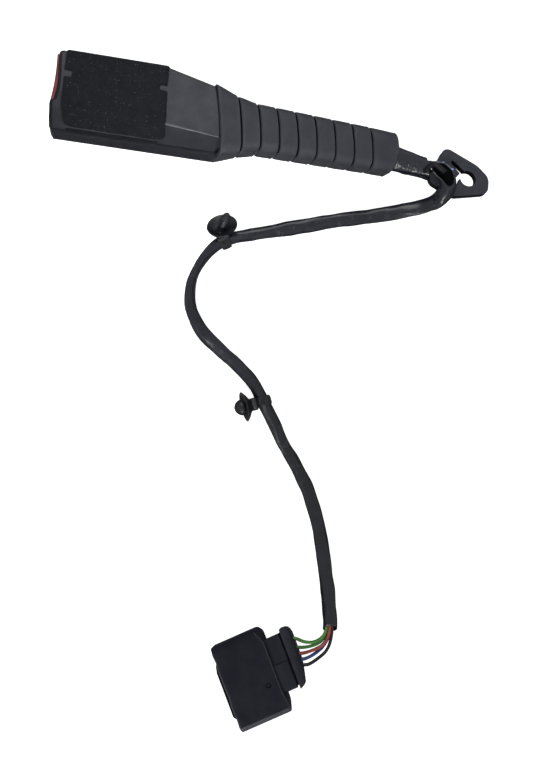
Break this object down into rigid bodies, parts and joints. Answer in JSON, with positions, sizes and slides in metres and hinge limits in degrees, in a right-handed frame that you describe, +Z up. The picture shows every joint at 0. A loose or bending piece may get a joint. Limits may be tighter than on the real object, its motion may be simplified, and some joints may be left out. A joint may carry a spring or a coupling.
{
  "type": "seat belt buckle",
  "caption": "Seat belt buckle with red press button on a booted wire rope stalk, with swivelling anchor plate and a tubed wiring harness to a plug-in connector.",
  "frame": {"origin": "middle of the buckle and stalk seen from above, on the table", "axes": "+X from the mouth of the head to the anchor plate, +Y to the plain side of the head, +Z up from the table"},
  "size_m": [0.2566, 0.3645, 0.0259],
  "materials": {
    "head_plastic": "fine satin grain",
    "button_plastic": "dull satin",
    "felt": "needled felt",
    "frame_steel": "stamped, satin",
    "spring_steel": "drawn",
    "mechanism_plastic": "satin",
    "contact_metal": "satin",
    "rope_wire": "stranded",
    "lead_jacket": "matt",
    "sleeve_plastic": "glossy, tight over the strands",
    "boot_plastic": "satin",
    "plate_coating": "satin dark coating",
    "tube_vinyl": "glossy, soft",
    "clip_nylon": "satin",
    "connector_plastic": "fine matt",
    "wire_green": "satin",
    "wire_red": "satin",
    "wire_blue": "satin",
    "wire_black": "satin"
  },
  "bodies": {
    "buckle": {"upper_cover": "head_plastic", "lower_cover": "head_plastic", "felt_pad": "felt", "button_springs": "spring_steel", "buckle_frame": "frame_steel", "latch_spring": "spring_steel", "ejector_spring": "spring_steel", "switch_housing": "mechanism_plastic", "switch_contacts": "contact_metal", "rope_ferrule": "frame_steel", "anchor_rope": "rope_wire", "switch_lead": "lead_jacket", "rope_sleeve": "sleeve_plastic", "boot": "boot_plastic", "harness_tube": "tube_vinyl", "clip_1": "clip_nylon", "clip_1_tie": "clip_nylon", "clip_2": "clip_nylon", "clip_2_tie": "clip_nylon", "connector_housing": "connector_plastic", "connector_terminals": "contact_metal", "connector_rear_cover": "connector_plastic", "wire_green_1": "wire_green", "wire_green_2": "wire_green", "wire_red": "wire_red", "wire_blue": "wire_blue", "wire_black": "wire_black"},
    "button": {"release_button": "button_plastic"},
    "lock": {"lock_slider": "frame_steel"},
    "ejector": {"ejector": "mechanism_plastic", "contact_slider": "contact_metal"},
    "latch": {"latch": "frame_steel"},
    "anchor": {"anchor_plate": "plate_coating"}
  },
  "joints": [
    {"name": "button_slide", "type": "slide", "parent": "buckle", "child": "button", "axis": [1, 0, 0], "range_m": [0, 0.006], "stiffness_N_per_m": 800, "springref_m": -0.003, "deforming": ["button_springs"]},
    {"name": "lock_slide", "type": "slide", "parent": "buckle", "child": "lock", "axis": [1, 0, 0], "range_m": [0, 0.006]},
    {"name": "ejector_slide", "type": "slide", "parent": "buckle", "child": "ejector", "axis": [1, 0, 0], "range_m": [0, 0.012], "stiffness_N_per_m": 500, "springref_m": -0.004, "deforming": ["ejector_spring"]},
    {"name": "latch_pivot", "type": "hinge", "parent": "buckle", "child": "latch", "pos_m": [-0.0672, -0.00004, 0.01], "axis": [0, 1, 0], "range_deg": [-6, 0], "deforming": ["latch_spring"]},
    {"name": "anchor_hinge", "type": "hinge", "parent": "buckle", "child": "anchor", "pos_m": [0.0961, -0.00784, 0.0084], "axis": [0.5303, 0.7862, -0.3173], "range_deg": [-12, 60]}
  ],
  "couplings": [
    {"joint": "lock_slide", "follows": "button_slide", "ratio": 1},
    {"joint": "latch_pivot", "follows": "ejector_slide", "rad_per_m": -8.72}
  ]
}
